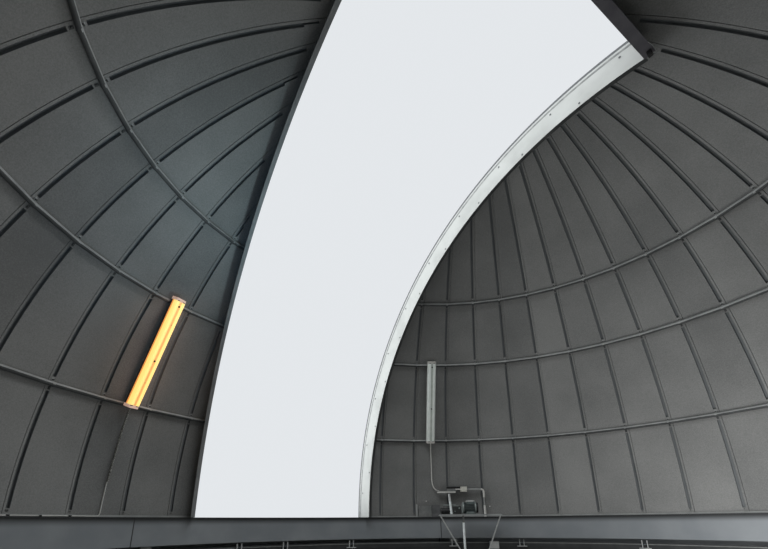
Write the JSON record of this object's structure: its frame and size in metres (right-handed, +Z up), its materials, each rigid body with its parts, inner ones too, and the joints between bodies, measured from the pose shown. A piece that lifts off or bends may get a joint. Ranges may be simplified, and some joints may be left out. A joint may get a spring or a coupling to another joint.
{
  "type": "observatory dome on a round wall",
  "caption": "Rotating hemispherical observatory dome with a felt-lined panel shell, an open slit between parked shutter leaves, and a base ring on rollers over a round wall.",
  "frame": {"origin": "on the ground at the centre of the round wall", "axes": "+Z up, +X towards the foot of the slit, +Y to the left seen from inside looking out of the slit"},
  "size_m": [8.828, 8.828, 6.122],
  "materials": {
    "wall_render": "matte",
    "grey_steel": "satin",
    "light_steel": "satin",
    "dark_steel": "satin",
    "machine_paint": "satin",
    "roller_tread": "matte",
    "panel_lining": "matte",
    "white_paint": "satin",
    "lamp_housing": "satin"
  },
  "bodies": {
    "building": {"ring_wall_1": "wall_render", "ring_wall_2": "wall_render", "ring_wall_3": "wall_render", "ring_wall_4": "wall_render", "wall_plate": "grey_steel", "roller_stand_1": "grey_steel", "roller_wheel_1": "roller_tread", "roller_stand_2": "grey_steel", "roller_wheel_2": "roller_tread", "roller_stand_3": "grey_steel", "roller_wheel_3": "roller_tread", "roller_stand_4": "grey_steel", "roller_wheel_4": "roller_tread", "roller_stand_5": "grey_steel", "roller_wheel_5": "roller_tread", "roller_stand_6": "grey_steel", "roller_wheel_6": "roller_tread", "drive_shelf": "grey_steel", "drive_motor": "machine_paint", "drive_gearbox": "dark_steel"},
    "dome": {"shell_left_front": "panel_lining", "shell_left_side": "panel_lining", "shell_left_rear": "panel_lining", "shell_rear": "panel_lining", "shell_right_rear": "panel_lining", "shell_right_side": "panel_lining", "shell_right_front": "panel_lining", "ring_tube_low": "light_steel", "ring_tube_middle": "light_steel", "ring_tube_high": "light_steel", "slit_arch_left": "light_steel", "slit_arch_right": "light_steel", "slit_cross_beam": "dark_steel", "base_ring": "grey_steel", "shutter_rail_front": "white_paint", "shutter_rail_rear": "white_paint", "shutter_leaf_left": "white_paint", "shutter_leaf_right": "white_paint", "lamp_left": "lamp_housing", "lamp_right": "lamp_housing", "conduit_left": "light_steel", "conduit_right": "light_steel", "conduit_tail": "light_steel", "socket_box": "lamp_housing", "junction_box": "grey_steel"}
  },
  "joints": [
    {"name": "dome_rotation", "type": "hinge", "parent": "building", "child": "dome", "pos_m": [0, 0, 0], "axis": [0, 0, 1], "continuous": true}
  ]
}
